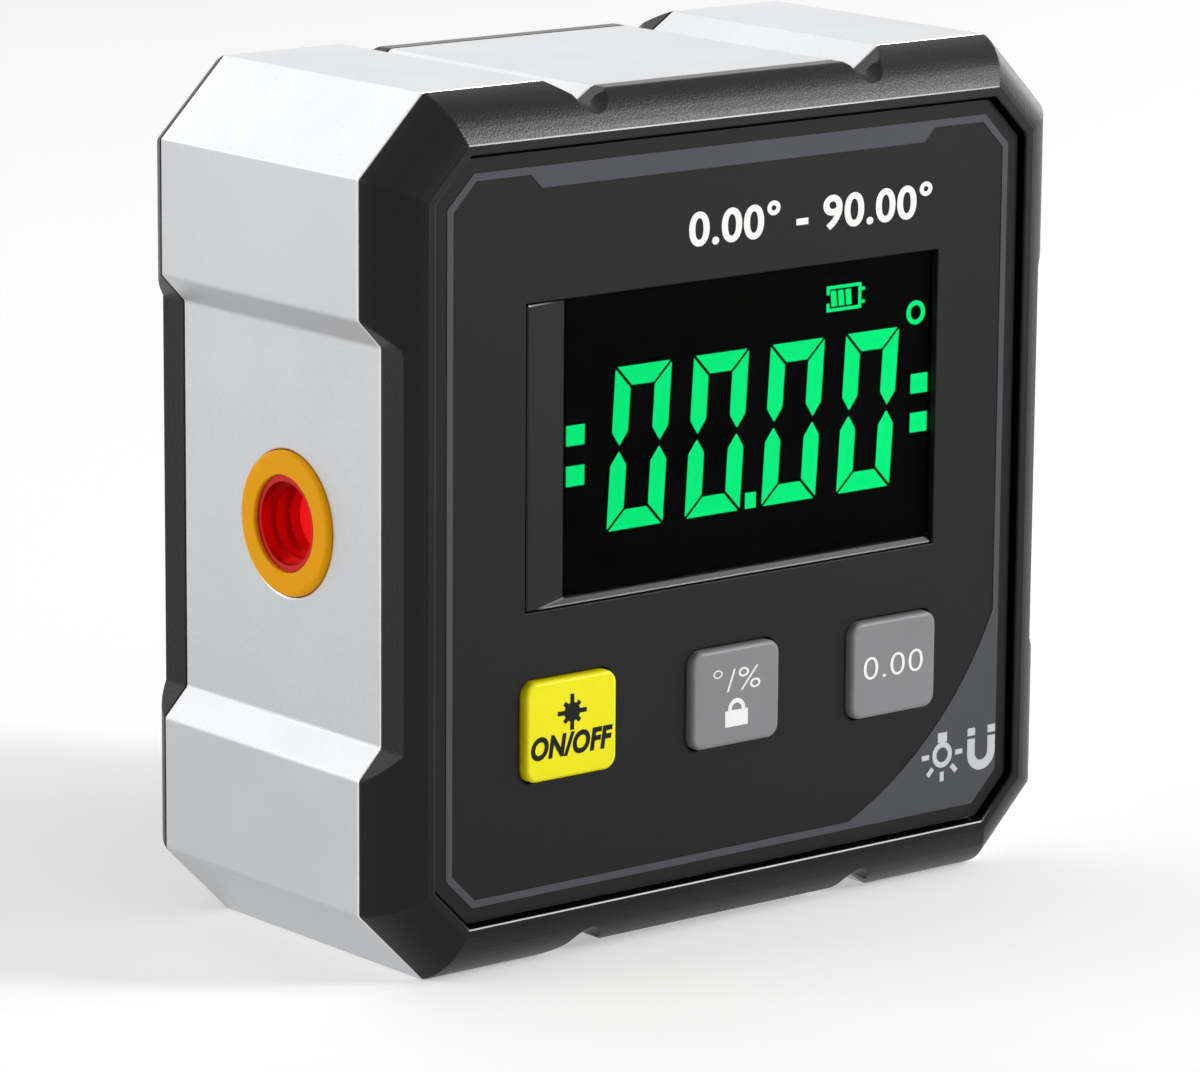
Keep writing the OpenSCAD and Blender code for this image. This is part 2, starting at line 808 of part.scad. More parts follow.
frame();
front_cover();
face_plate();
face_print();
display_lens();
display_glass();
display_segments();
light_guide();
contact_strip();
circuit_board();
controller_chip();
tilt_sensor();
key_switches();
power_key();
hold_key();
zero_key();
power_plunger();
hold_plunger();
zero_plunger();
left_ring();
right_ring();
left_barrel();
right_barrel();
left_lens();
right_lens();
left_diode();
right_diode();
base_magnets();
back_cover();
battery_door();
upper_cell();
lower_cell();
cell_springs();
link_contact();
end_contacts();
board_screws();
cover_screws();
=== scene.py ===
"""Dresses the digital angle gauge: finishes, printed signs, stage and camera."""
import math
import bmesh
import bpy
import numpy as np
from mathutils import Matrix, Vector


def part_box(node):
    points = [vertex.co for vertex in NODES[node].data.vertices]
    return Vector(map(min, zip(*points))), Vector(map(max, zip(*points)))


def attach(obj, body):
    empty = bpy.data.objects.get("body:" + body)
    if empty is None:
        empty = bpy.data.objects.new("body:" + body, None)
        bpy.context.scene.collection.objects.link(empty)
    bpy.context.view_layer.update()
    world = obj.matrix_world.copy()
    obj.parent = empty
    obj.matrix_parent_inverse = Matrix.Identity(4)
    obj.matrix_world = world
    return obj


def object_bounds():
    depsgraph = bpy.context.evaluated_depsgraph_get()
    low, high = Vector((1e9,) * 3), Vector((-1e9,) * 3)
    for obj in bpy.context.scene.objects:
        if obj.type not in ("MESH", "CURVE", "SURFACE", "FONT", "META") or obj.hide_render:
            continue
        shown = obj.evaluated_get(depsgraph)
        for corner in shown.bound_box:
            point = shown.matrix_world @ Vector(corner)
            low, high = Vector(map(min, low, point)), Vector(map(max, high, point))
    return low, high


bl_info = {
    "name": "Angle Gauge Dressing",
    "version": (1, 0, 0),
    "blender": (4, 5, 0),
    "location": "View3D > Sidebar > Gauge",
    "description": "Gives the digital angle gauge its finishes, printed signs and studio",
    "category": "Object",
}

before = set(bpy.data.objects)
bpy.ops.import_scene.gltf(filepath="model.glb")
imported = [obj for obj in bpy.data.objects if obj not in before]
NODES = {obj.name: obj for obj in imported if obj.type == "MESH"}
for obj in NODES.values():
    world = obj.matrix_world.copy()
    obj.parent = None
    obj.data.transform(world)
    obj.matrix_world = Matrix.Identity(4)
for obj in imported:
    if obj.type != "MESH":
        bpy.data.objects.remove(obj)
CAD_BOX = [list(corner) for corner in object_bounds()]
MM = 0.001
HOUSING = "housing"
# Distance from the gauge's middle to the faces of its cut corners, and the slant of those faces
CORNER_REACH = 41.93 * MM
DIAGONAL = 0.7071
# Ends of the lit row of digits, along x
LIT_LEFT = -16.0 * MM
LIT_RIGHT = 20.0 * MM
# Spacing in millimetres of the tooth on inks, mouldings and sheets. The real tooth is too fine to show,
# so it is drawn coarser.
FINE_TOOTH = 0.1
SCREEN_TOOTH = 0.12
KEY_TOOTH = 0.15
SHEET_TOOTH = 0.2
BROAD_TOOTH = 0.3
# Shares of the background's white that the floor gives off and that the room fills shadows with
FLOOR_LIFT = 0.34
ROOM_FILL = 0.27
FLOOR_REACH = 6.0
# Softboxes: name, place, width and height in metres, and power in watts. All face one point.
SOFTBOX_AIM = (0.0, 0.0, 0.03)
SOFTBOXES = (
    ("right_softbox", (0.68, 0.13, 0.13), 0.45, 0.16, 0.6),
    ("rear_softbox", (0.48, 0.6, 0.26), 0.4, 0.4, 0.14),
    ("low_softbox", (0.53, -0.6, 0.33), 0.14, 0.2, 4.5),
    ("back_softbox", (-0.08, 0.62, 0.52), 0.6, 0.5, 0.78),
    ("high_softbox", (0.55, -0.42, 0.5), 0.25, 0.25, 1.5),
    ("left_softbox", (-0.75, 0.35, 0.38), 0.5, 0.5, 2.9))
# Camera fitted to the straight edges of the gauge: its axes, its place in metres and its lens in millimetres
CAMERA_RIGHT = (0.77579459, -0.6309423, 0.00738734)
CAMERA_UP = (0.12863177, 0.16960325, 0.97708168)
CAMERA_BACK = (-0.61773508, -0.75706443, 0.2127365)
CAMERA_PLACE = (-0.28579, -0.34955, 0.12571)
CAMERA_SENSOR = 36.0
CAMERA_LENS = 182.567
CAMERA_NEAR = 0.01


def linear(code):
    """Linear RGB of an sRGB hex colour such as #808080."""
    srgb = np.array([int(code[i:i + 2], 16) for i in (1, 3, 5)]) / 255.0
    return tuple(np.where(srgb <= 0.04045, srgb / 12.92, ((srgb + 0.055) / 1.055) ** 2.4))


def colour(name, code):
    """A colour property whose default is an sRGB hex colour."""
    return bpy.props.FloatVectorProperty(
        name=name, description=f"Colour of the {name.lower()}", subtype="COLOR", size=3,
        min=0.0, max=1.0, default=linear(code))


def length(name, text, value):
    """A length property whose default is in metres."""
    return bpy.props.FloatProperty(
        name=name, description=text, unit="LENGTH", subtype="DISTANCE", default=value, min=0.0)


class GaugeSizes(bpy.types.PropertyGroup):
    """Sizes of what the dressing adds, in metres."""
    edge_break: length("Edge break", "Small round on the edges of the frame", 0.15 * MM)
    # The line this sets is a painted highlight: the frame's colour goes to white along its edges.
    edge_highlight_width: length("Edge highlight", "Width of the painted highlight line along the frame's edges", 0.25 * MM)
    mould_break: length("Mould break", "Small round on the edges of the mouldings", 0.15 * MM)
    ink_rise: length("Ink rise", "How far printed ink stands off its face", 0.03 * MM)
    # The two grains are drawn coarser than the real ones, which are too fine to show
    blast_grain: length("Blast grain", "Spacing of the pits in the blasted metal", 0.16 * MM)
    mould_grain: length("Mould grain", "Spacing of the pebbles in the moulded texture", 0.17 * MM)
    texture_band: length("Texture band", "Width of the textured round on the front cover", 3.5 * MM)
    cell_band: length("Cell band", "Width of the pale band on a cell's positive end", 9.0 * MM)


class GaugeColours(bpy.types.PropertyGroup):
    """Colours of the finishes."""
    metal: colour("Anodised metal", "#cbccce")
    moulding: colour("Black moulding", "#070708")
    face: colour("Face sheet", "#151516")
    print_grey: colour("Grey ink", "#4b4c52")
    sleeve: colour("Cell sleeve", "#2f5c8f")
    sleeve_band: colour("Cell band", "#c9cdd2")
    sign_grey: colour("Light grey ink", "#c9cacc")
    white: colour("White ink", "#f4f4f2")
    black: colour("Black ink", "#0c0c0a")
    yellow: colour("Power key", "#f3ea0a")
    key_grey: colour("Grey keys", "#848486")
    ring: colour("Outlet ring", "#ffae08")
    lit: colour("Lit segments", "#04ec79")
    floor: colour("Floor", "#e6e6e6")


def sizes():
    """Sizes that are set on the scene."""
    return bpy.context.scene.gauge_sizes


def colours():
    """Colours that are set on the scene."""
    return bpy.context.scene.gauge_colours


def add(tree, kind, inputs=None, **settings):
    """Adds one node: settings are its properties, inputs its socket values or links."""
    node = tree.nodes.new(kind)
    for name, value in settings.items():
        setattr(node, name, value)
    for socket, value in (inputs or {}).items():
        if isinstance(value, bpy.types.NodeSocket):
            tree.links.new(value, node.inputs[socket])
        else:
            node.inputs[socket].default_value = value
    return node


def start(name):
    """An empty node material: its tree, its shader and its Object coordinates."""
    material = bpy.data.materials.new(name)
    material.use_nodes = True
    tree = material.node_tree
    tree.nodes.clear()
    shader = add(tree, "ShaderNodeBsdfPrincipled")
    add(tree, "ShaderNodeOutputMaterial", {"Surface": shader.outputs["BSDF"]})
    place = add(tree, "ShaderNodeTexCoord").outputs["Object"]
    return material, tree, shader, place


def shade(tree, factor, low, high):
    """Colour that runs from low to high with a factor."""
    mix = add(tree, "ShaderNodeMix", {"Factor": factor}, data_type="RGBA")
    mix.inputs["A"].default_value = (*low, 1.0)
    mix.inputs["B"].default_value = (*high, 1.0)
    return mix.outputs["Result"]


def scaled(rgb, gain):
    """A colour times a gain, with no channel past full."""
    return tuple(min(1.0, channel * gain) for channel in rgb)


# Mask of the painted edge highlight: where it is 1, the frame's colour is pushed to white.
def painted_edge_highlight(tree, width):
    """1 where the surface bends within a width of the point, 0 on flat faces."""
    bent = add(tree, "ShaderNodeBevel", {"Radius": width}, samples=8)
    flat = add(tree, "ShaderNodeNewGeometry")
    agree = add(tree, "ShaderNodeVectorMath", {
        0: bent.outputs["Normal"], 1: flat.outputs["Normal"]}, operation="DOT_PRODUCT")
    return add(tree, "ShaderNodeMapRange", {
        "Value": agree.outputs["Value"], "From Min": 0.995, "From Max": 0.93}).outputs["Result"]


def blasted_aluminium():
    """Extruded aluminium, glass-bead blasted and clear anodised, with a painted highlight along its edges.

    It gives a soft satin sparkle with no grain direction, and a painted highlight: the colour turns white
    along each edge.
    """
    material, tree, shader, place = start("blasted_anodised_aluminium")
    metal = colours().metal
    pits = add(tree, "ShaderNodeTexNoise", {
        "Vector": place, "Scale": 1.0 / sizes().blast_grain, "Detail": 3.0, "Roughness": 0.6})
    cloud = add(tree, "ShaderNodeTexNoise", {"Vector": place, "Scale": 1.0 / (9.0 * MM), "Detail": 2.0})
    satin = shade(tree, pits.outputs["Fac"], scaled(metal, 0.86), scaled(metal, 1.08))
    # Painted highlight: the metal's colour is mixed towards white along every edge.
    tone = add(tree, "ShaderNodeMix", {"Factor": painted_edge_highlight(tree, sizes().edge_highlight_width)}, data_type="RGBA")
    tree.links.new(satin, tone.inputs["A"])
    tone.inputs["B"].default_value = (1.0, 1.0, 1.0, 1.0)
    rough = add(tree, "ShaderNodeMapRange", {
        "Value": cloud.outputs["Fac"], "From Min": 0.3, "From Max": 0.7, "To Min": 0.36, "To Max": 0.44})
    bump = add(tree, "ShaderNodeBump", {
        "Height": pits.outputs["Fac"], "Strength": 0.35, "Distance": 0.02 * MM})
    tree.links.new(tone.outputs["Result"], shader.inputs["Base Color"])
    tree.links.new(rough.outputs["Result"], shader.inputs["Roughness"])
    tree.links.new(bump.outputs["Normal"], shader.inputs["Normal"])
    shader.inputs["Metallic"].default_value = 1.0
    return material


def textured_band(tree, place):
    """1 on the rounded edge of a cover and all over the back, 0 on the smooth inside of the face."""
    low, high = CAD_BOX
    middle = tuple((low[i] + high[i]) / 2 for i in range(3))
    half = (high[0] - low[0]) / 2
    off = add(tree, "ShaderNodeVectorMath", {0: place, 1: middle}, operation="SUBTRACT")
    size = add(tree, "ShaderNodeVectorMath", {0: off.outputs["Vector"]}, operation="ABSOLUTE")
    axes = add(tree, "ShaderNodeSeparateXYZ", {"Vector": size.outputs["Vector"]})
    corner = add(tree, "ShaderNodeVectorMath", {
        0: size.outputs["Vector"], 1: (DIAGONAL, 0.0, DIAGONAL)}, operation="DOT_PRODUCT")
    level = add(tree, "ShaderNodeMath", {
        0: corner.outputs["Value"], 1: CORNER_REACH - half}, operation="SUBTRACT")
    wide = add(tree, "ShaderNodeMath", {0: axes.outputs["X"], 1: axes.outputs["Z"]}, operation="MAXIMUM")
    out = add(tree, "ShaderNodeMath", {
        0: wide.outputs["Value"], 1: level.outputs["Value"]}, operation="MAXIMUM")
    band = add(tree, "ShaderNodeMath", {
        0: out.outputs["Value"], 1: half - sizes().texture_band}, operation="GREATER_THAN")
    depth = add(tree, "ShaderNodeSeparateXYZ", {"Vector": off.outputs["Vector"]})
    back = add(tree, "ShaderNodeMath", {0: depth.outputs["Y"], 1: 0.0}, operation="GREATER_THAN")
    return add(tree, "ShaderNodeMath", {
        0: band.outputs["Value"], 1: back.outputs["Value"]}, operation="MAXIMUM").outputs["Value"]


def textured_abs():
    """Injection-moulded black ABS, spark-eroded with fine pebbles on its rounds and smooth inside.

    It gives a grey sheen broken into grain on the rounded edges, and a clean glint on the inner edges.
    """
    material, tree, shader, place = start("textured_black_abs")
    black = colours().moulding
    grained = textured_band(tree, place)
    pebble = add(tree, "ShaderNodeTexNoise", {
        "Vector": place, "Scale": 1.0 / sizes().mould_grain, "Detail": 1.0})
    haze = add(tree, "ShaderNodeTexNoise", {
        "Vector": place, "Scale": 1.0 / (0.8 * MM), "Detail": 4.0})
    tone = shade(tree, haze.outputs["Fac"], scaled(black, 0.8), scaled(black, 1.25))
    rough = add(tree, "ShaderNodeMapRange", {"Value": grained, "To Min": 0.2, "To Max": 0.33})
    depth = add(tree, "ShaderNodeMath", {0: grained, 1: 0.5}, operation="MULTIPLY")
    bump = add(tree, "ShaderNodeBump", {
        "Height": pebble.outputs["Fac"], "Strength": depth.outputs["Value"], "Distance": 0.05 * MM})
    tree.links.new(tone, shader.inputs["Base Color"])
    tree.links.new(rough.outputs["Result"], shader.inputs["Roughness"])
    tree.links.new(bump.outputs["Normal"], shader.inputs["Normal"])
    shader.inputs["Specular IOR Level"].default_value = 0.22
    return material


def satin_sheet(name, rgb, roughness, tooth, level=0.3):
    """Printed, sprayed or moulded satin plastic: even colour with a fine tooth that softens the sheen."""
    material, tree, shader, place = start(name)
    pores = add(tree, "ShaderNodeTexNoise", {
        "Vector": place, "Scale": 1.0 / (tooth * MM), "Detail": 3.0})
    broad = add(tree, "ShaderNodeTexNoise", {"Vector": place, "Scale": 1.0 / (6.0 * MM), "Detail": 2.0})
    tone = shade(tree, broad.outputs["Fac"], scaled(rgb, 0.93), scaled(rgb, 1.07))
    rough = add(tree, "ShaderNodeMapRange", {
        "Value": pores.outputs["Fac"], "From Min": 0.3, "From Max": 0.7,
        "To Min": roughness - 0.04, "To Max": roughness + 0.04})
    bump = add(tree, "ShaderNodeBump", {
        "Height": pores.outputs["Fac"], "Strength": 0.2, "Distance": 0.01 * MM})
    tree.links.new(tone, shader.inputs["Base Color"])
    tree.links.new(rough.outputs["Result"], shader.inputs["Roughness"])
    tree.links.new(bump.outputs["Normal"], shader.inputs["Normal"])
    shader.inputs["Specular IOR Level"].default_value = level
    return material


def printed_sleeve(node, side):
    """Shrunk and printed plastic sleeve of a dry cell: glossy, with a pale band on its positive end.

    The band covers the points whose distance from the cell's end, along x, is under its width.
    """
    name = f"printed_sleeve_{node}"
    material = satin_sheet(name, colours().sleeve, roughness=0.3, tooth=BROAD_TOOTH, level=0.5)
    tree = material.node_tree
    base = tree.nodes["Principled BSDF"].inputs["Base Color"]
    low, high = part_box(node)
    end = high[0] if side > 0 else low[0]
    place = add(tree, "ShaderNodeTexCoord").outputs["Object"]
    across = add(tree, "ShaderNodeSeparateXYZ", {"Vector": place})
    depth = add(tree, "ShaderNodeMath", {
        0: across.outputs["X"], 1: -side, 2: side * end}, operation="MULTIPLY_ADD")
    band = add(tree, "ShaderNodeMath", {
        0: depth.outputs["Value"], 1: sizes().cell_band}, operation="LESS_THAN")
    tone = add(tree, "ShaderNodeMix", {"Factor": band.outputs["Value"]}, data_type="RGBA")
    tree.links.new(base.links[0].from_socket, tone.inputs["A"])
    tone.inputs["B"].default_value = (*colours().sleeve_band, 1.0)
    tree.links.new(tone.outputs["Result"], base)
    return material


def lit_film():
    """Lit display segments: an even green glow, a little stronger towards the right."""
    material, tree, shader, place = start("lit_green_segments")
    across = add(tree, "ShaderNodeSeparateXYZ", {"Vector": place})
    run = add(tree, "ShaderNodeMapRange", {
        "Value": across.outputs["X"], "From Min": LIT_LEFT, "From Max": LIT_RIGHT})
    glow = shade(tree, run.outputs["Result"], scaled(colours().lit, 0.94), scaled(colours().lit, 1.06))
    tree.links.new(glow, shader.inputs["Emission Color"])
    shader.inputs["Emission Strength"].default_value = 1.0
    shader.inputs["Base Color"].default_value = (0.0, 0.02, 0.01, 1.0)
    shader.inputs["Roughness"].default_value = 0.4
    shader.inputs["Specular IOR Level"].default_value = 0.0
    return material


def clear_acrylic():
    """Clear acrylic with a hard coat: shows the display and takes only a faint reflection.

    The coat takes most of the reflection away, so the IOR is far below bare acrylic's 1.49.
    """
    material, tree, shader, place = start("hard_coated_acrylic")
    haze = add(tree, "ShaderNodeTexNoise", {"Vector": place, "Scale": 1.0 / (4.0 * MM)})
    rough = add(tree, "ShaderNodeMapRange", {
        "Value": haze.outputs["Fac"], "To Min": 0.02, "To Max": 0.06})
    tree.links.new(rough.outputs["Result"], shader.inputs["Roughness"])
    shader.inputs["Base Color"].default_value = (0.97, 0.98, 0.97, 1.0)
    shader.inputs["Transmission Weight"].default_value = 1.0
    shader.inputs["IOR"].default_value = 1.05
    return material


def black_glass():
    """Display glass behind its black mask: dead black with a polished face."""
    material, tree, shader, place = start("masked_display_glass")
    haze = add(tree, "ShaderNodeTexNoise", {"Vector": place, "Scale": 1.0 / (5.0 * MM)})
    tone = shade(tree, haze.outputs["Fac"], (0.0002, 0.0002, 0.0002), (0.0004, 0.0005, 0.0004))
    tree.links.new(tone, shader.inputs["Base Color"])
    shader.inputs["Roughness"].default_value = 0.25
    shader.inputs["Specular IOR Level"].default_value = 0.0
    return material


def red_lens():
    """Coated glass lens lit from behind by the red source: a deep red glow with an uneven middle."""
    material, tree, shader, place = start("lit_red_lens")
    spread = add(tree, "ShaderNodeTexNoise", {"Vector": place, "Scale": 1.0 / (1.5 * MM)})
    glow = shade(tree, spread.outputs["Fac"], linear("#c80a0c"), linear("#e81214"))
    tree.links.new(glow, shader.inputs["Emission Color"])
    shader.inputs["Emission Strength"].default_value = 1.0
    shader.inputs["Base Color"].default_value = (0.3, 0.01, 0.01, 1.0)
    shader.inputs["Roughness"].default_value = 0.12
    return material


def turned_metal(name, rgb, roughness):
    """Turned, stamped or plated small metal parts: fine marks that break up the highlight.

    The marks are drawn coarser than the real ones, which are too fine to show.
    """
    material, tree, shader, place = start(name)
    marks = add(tree, "ShaderNodeTexNoise", {
        "Vector": place, "Scale": 1.0 / (0.25 * MM), "Detail": 4.0})
    tone = shade(tree, marks.outputs["Fac"], scaled(rgb, 0.85), scaled(rgb, 1.1))
    rough = add(tree, "ShaderNodeMapRange", {
        "Value": marks.outputs["Fac"], "To Min": roughness - 0.08, "To Max": roughness + 0.08})
    bump = add(tree, "ShaderNodeBump", {
        "Height": marks.outputs["Fac"], "Strength": 0.2, "Distance": 0.01 * MM})
    tree.links.new(tone, shader.inputs["Base Color"])
    tree.links.new(rough.outputs["Result"], shader.inputs["Roughness"])
    tree.links.new(bump.outputs["Normal"], shader.inputs["Normal"])
    shader.inputs["Metallic"].default_value = 1.0
    return material


def finish(material, *names):
    """Puts a material on CAD nodes."""
    for name in names:
        for slot in NODES[name].material_slots:
            slot.material = material


def break_edges(width, *names):
    """Joins a node's triangles into flat faces, for the modifiers alone, and rounds its sharp edges."""
    for name in names:
        node = NODES[name]
        weld = node.modifiers.new("join", "WELD")
        weld.merge_threshold = 0.001 * MM
        flat = node.modifiers.new("flat_faces", "DECIMATE")
        flat.decimate_type = "DISSOLVE"
        flat.angle_limit = math.radians(0.5)
        bevel = node.modifiers.new("edge_break", "BEVEL")
        bevel.width = width
        bevel.segments = 2
        bevel.limit_method = "ANGLE"
        bevel.angle_limit = math.radians(25.0)
        bevel.loop_slide = False
        bevel.use_clamp_overlap = False
        crisp = node.modifiers.new("crisp_mitres", "EDGE_SPLIT")
        crisp.split_angle = math.radians(11.0)
        even = node.modifiers.new("even_shading", "WEIGHTED_NORMAL")
        even.weight = 80


def add_piece(name, mesh, material, body):
    """Links a finished mesh as a piece that rides on a body."""
    mesh.name = name
    mesh.materials.clear()
    mesh.materials.append(material)
    piece = bpy.data.objects.new(name, mesh)
    bpy.context.scene.collection.objects.link(piece)
    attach(piece, body)
    return piece


def ink(name, shapes, face_y, material, body):
    """Joins flat shapes into one printed piece.

    Each shape is a pair of points and faces, and a point is its x, its share of the ink's rise off
    the face, and its z.
    """
    points = np.concatenate([shape[0] for shape in shapes])
    starts = np.cumsum([0] + [len(shape[0]) for shape in shapes[:-1]])
    faces = [(face + first).tolist() for shape, first in zip(shapes, starts) for face in shape[1]]
    placed = np.column_stack([points[:, 0], face_y - points[:, 1] * sizes().ink_rise, points[:, 2]])
    mesh = bpy.data.meshes.new(name)
    mesh.from_pydata(placed.tolist(), [], faces)
    shell = bmesh.new()
    shell.from_mesh(mesh)
    bmesh.ops.recalc_face_normals(shell, faces=shell.faces)
    shell.to_mesh(mesh)
    shell.free()
    return add_piece(name, mesh, material, body)


def bar(path, width, closed=False):
    """A bar of ink: a square profile carried along a path in (x, z).

    At each point the two edges lie half a width off the path, along the bisector of the
    neighbouring normals, lengthened by one over the cosine of half the turn.
    """
    path = np.asarray(path, float)
    ahead = np.roll(path, -1, axis=0) - path
    behind = path - np.roll(path, 1, axis=0)
    if not closed:
        ahead[-1] = behind[-1]
        behind[0] = ahead[0]
    ahead /= np.linalg.norm(ahead, axis=1, keepdims=True)
    behind /= np.linalg.norm(behind, axis=1, keepdims=True)
    across = ahead + behind
    across /= np.linalg.norm(across, axis=1, keepdims=True)
    reach = 0.5 * width / np.sum(across * ahead, axis=1, keepdims=True)
    side = np.column_stack([-across[:, 1], across[:, 0]]) * reach
    count = len(path)
    corners = np.stack([path + side, path - side, path - side, path + side], axis=1)
    heights = np.tile([0.0, 0.0, 1.0, 1.0], (count, 1))
    points = np.stack([corners[..., 0], heights, corners[..., 1]], axis=-1).reshape(-1, 3)
    here = np.arange(count if closed else count - 1)[:, None] * 4
    there = (here + 4) % (4 * count)
    turn = np.arange(4)
    after = (turn + 1) % 4
    walls = np.stack([here + turn, here + after, there + after, there + turn], axis=-1).reshape(-1, 4)
    caps = np.array([turn, 4 * count - 4 + turn])
    return points, walls if closed else np.concatenate([walls, caps])


def arc(centre, radius, first, last, count=24):
    """Points on an arc in (x, z), from one angle to another in degrees."""
    angle = np.radians(np.linspace(first, last, count))
    return np.column_stack([centre[0] + radius * np.cos(angle), centre[1] + radius * np.sin(angle)])


def star(centre, core, long, short, width):
    """A disc with eight rays of even width: polar radius against angle.

    The radius is the largest of the core, the long rays on every right angle and the short rays
    on every diagonal. A ray's radius is half its width over the sine of the angle from its axis,
    up to the ray's own length.
    """
    angle = np.linspace(0.0, 2.0 * math.pi, 401)[:-1]
    off_axis = np.abs((angle + math.pi / 4) % (math.pi / 2) - math.pi / 4)
    off_diagonal = math.pi / 4 - off_axis
    tips = [np.minimum(tip, 0.5 * width / np.maximum(np.sin(off), 1e-6))
            for tip, off in ((long, off_axis), (short, off_diagonal))]
    radius = np.maximum(core, np.maximum(*tips))
    ring = np.column_stack([centre[0] + radius * np.cos(angle), centre[1] + radius * np.sin(angle)])
    points = np.concatenate([np.insert(ring, 1, height, axis=1) for height in (0.0, 1.0)])
    count = len(angle)
    turn = np.arange(count)
    after = (turn + 1) % count
    walls = np.column_stack([turn, after, after + count, turn + count])
    return points, [*walls, turn, turn + count]


def words(name, text, width, height, centre, face_y, material, body, bold=0.0, slant=0.0):
    """Ink letters on a face that looks along -Y, scaled to a width and height and centred at (x, z)."""
    font = bpy.data.curves.new(name, "FONT")
    font.body = text
    font.shear = slant
    font.offset = bold
    font.extrude = 0.5
    font.space_character = 1.06
    font.resolution_u = 6
    holder = bpy.data.objects.new(name + "_font", font)
    bpy.context.scene.collection.objects.link(holder)
    graph = bpy.context.evaluated_depsgraph_get()
    mesh = bpy.data.meshes.new_from_object(holder.evaluated_get(graph))
    bpy.data.objects.remove(holder)
    points = np.empty(3 * len(mesh.vertices))
    mesh.vertices.foreach_get("co", points)
    points = points.reshape(-1, 3)
    low = points.min(axis=0)
    span = points.max(axis=0) - low
    unit = (points - low) / span
    rise = sizes().ink_rise
    placed = np.column_stack([
        centre[0] + (unit[:, 0] - 0.5) * width, face_y - unit[:, 2] * rise,
        centre[1] + (unit[:, 1] - 0.5) * height])
    mesh.vertices.foreach_set("co", placed.ravel())
    mesh.update()
    return add_piece(name, mesh, material, body)


class GAUGE_OT_frame(bpy.types.Operator):
    """Finishes the aluminium frame"""
    bl_idname = "gauge.frame"
    bl_label = "Frame"

    def execute(self, context):
        finish(blasted_aluminium(), "frame")
        break_edges(sizes().edge_break, "frame")
        return {"FINISHED"}


class GAUGE_OT_covers(bpy.types.Operator):
    """Finishes the moulded covers and the battery door"""
    bl_idname = "gauge.covers"
    bl_label = "Covers"

    def execute(self, context):
        finish(textured_abs(), "front_cover", "back_cover", "battery_door")
        break_edges(sizes().mould_break, "front_cover", "back_cover", "battery_door")
        return {"FINISHED"}


class GAUGE_OT_face(bpy.types.Operator):
    """Finishes the face plate and its print"""
    bl_idname = "gauge.face"
    bl_label = "Face plate"

    def execute(self, context):
        tones = colours()
        sheet = satin_sheet("satin_charcoal_sheet", tones.face, roughness=0.5, tooth=SHEET_TOOTH, level=0.16)
        grey = satin_sheet("grey_screen_ink", tones.print_grey, roughness=0.5, tooth=SCREEN_TOOTH, level=0.16)
        break_edges(sizes().mould_break / 2, "face_plate")
        finish(sheet, "face_plate")
        finish(grey, "face_print")
        return {"FINISHED"}


class GAUGE_OT_display(bpy.types.Operator):
    """Finishes the display"""
    bl_idname = "gauge.display"
    bl_label = "Display"

    def execute(self, context):
        finish(clear_acrylic(), "display_lens")
        finish(black_glass(), "display_glass")
        finish(lit_film(), "display_segments")
        finish(satin_sheet("diffusing_light_guide", linear("#e6ebe4"), roughness=0.5, tooth=BROAD_TOOTH),
               "light_guide")
        return {"FINISHED"}


def key_face(node):
    """Middle of a key's front: its x, the y of the face and its z."""
    low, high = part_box(node)
    return (low[0] + high[0]) / 2, low[1], (low[2] + high[2]) / 2


def lock_sign(x, z):
    """A padlock about (x, z): an upright bar for its body, and a half ring of thinner bar above it."""
    body = bar([(x, z - 1.0 * MM), (x, z + 0.25 * MM)], width=2.2 * MM)
    shackle = bar(arc((x, z + 0.3 * MM), radius=0.66 * MM, first=-6.0, last=186.0), width=0.34 * MM)
    return [body, shackle]


def lamp_sign(x, z):
    """A lamp about (x, z): five rays below and beside a ring of bar, and a wider bar for its cap above."""
    middle = np.array((x, z))
    angle = np.radians(np.array((180.0, 225.0, 270.0, 315.0, 0.0)))
    away = np.column_stack([np.cos(angle), np.sin(angle)])
    rays = [bar([middle + ray * 1.35 * MM, middle + ray * 2.1 * MM], width=0.4 * MM) for ray in away]
    cap = bar([middle + (0.0, 1.0 * MM), middle + (0.0, 1.75 * MM)], width=0.95 * MM)
    bulb = bar(arc(middle, radius=0.8 * MM, first=0.0, last=352.0, count=32), width=0.42 * MM, closed=True)
    return rays + [cap, bulb]


def magnet_sign(x, z):
    """A horseshoe magnet: a half ring about (x, z) with two legs, and a short bar off the end of each leg."""
    middle = np.array((x, z))
    half = 1.05 * MM
    stroke = 0.78 * MM
    legs = np.array([(-half, 1.15 * MM), (half, 1.15 * MM)]) + middle
    yoke = np.concatenate([legs[:1], arc(middle, half, first=180.0, last=360.0), legs[1:]])
    tips = [bar([leg + (0.0, 0.25 * MM), leg + (0.0, 0.85 * MM)], stroke) for leg in legs]
    return [bar(yoke, stroke)] + tips


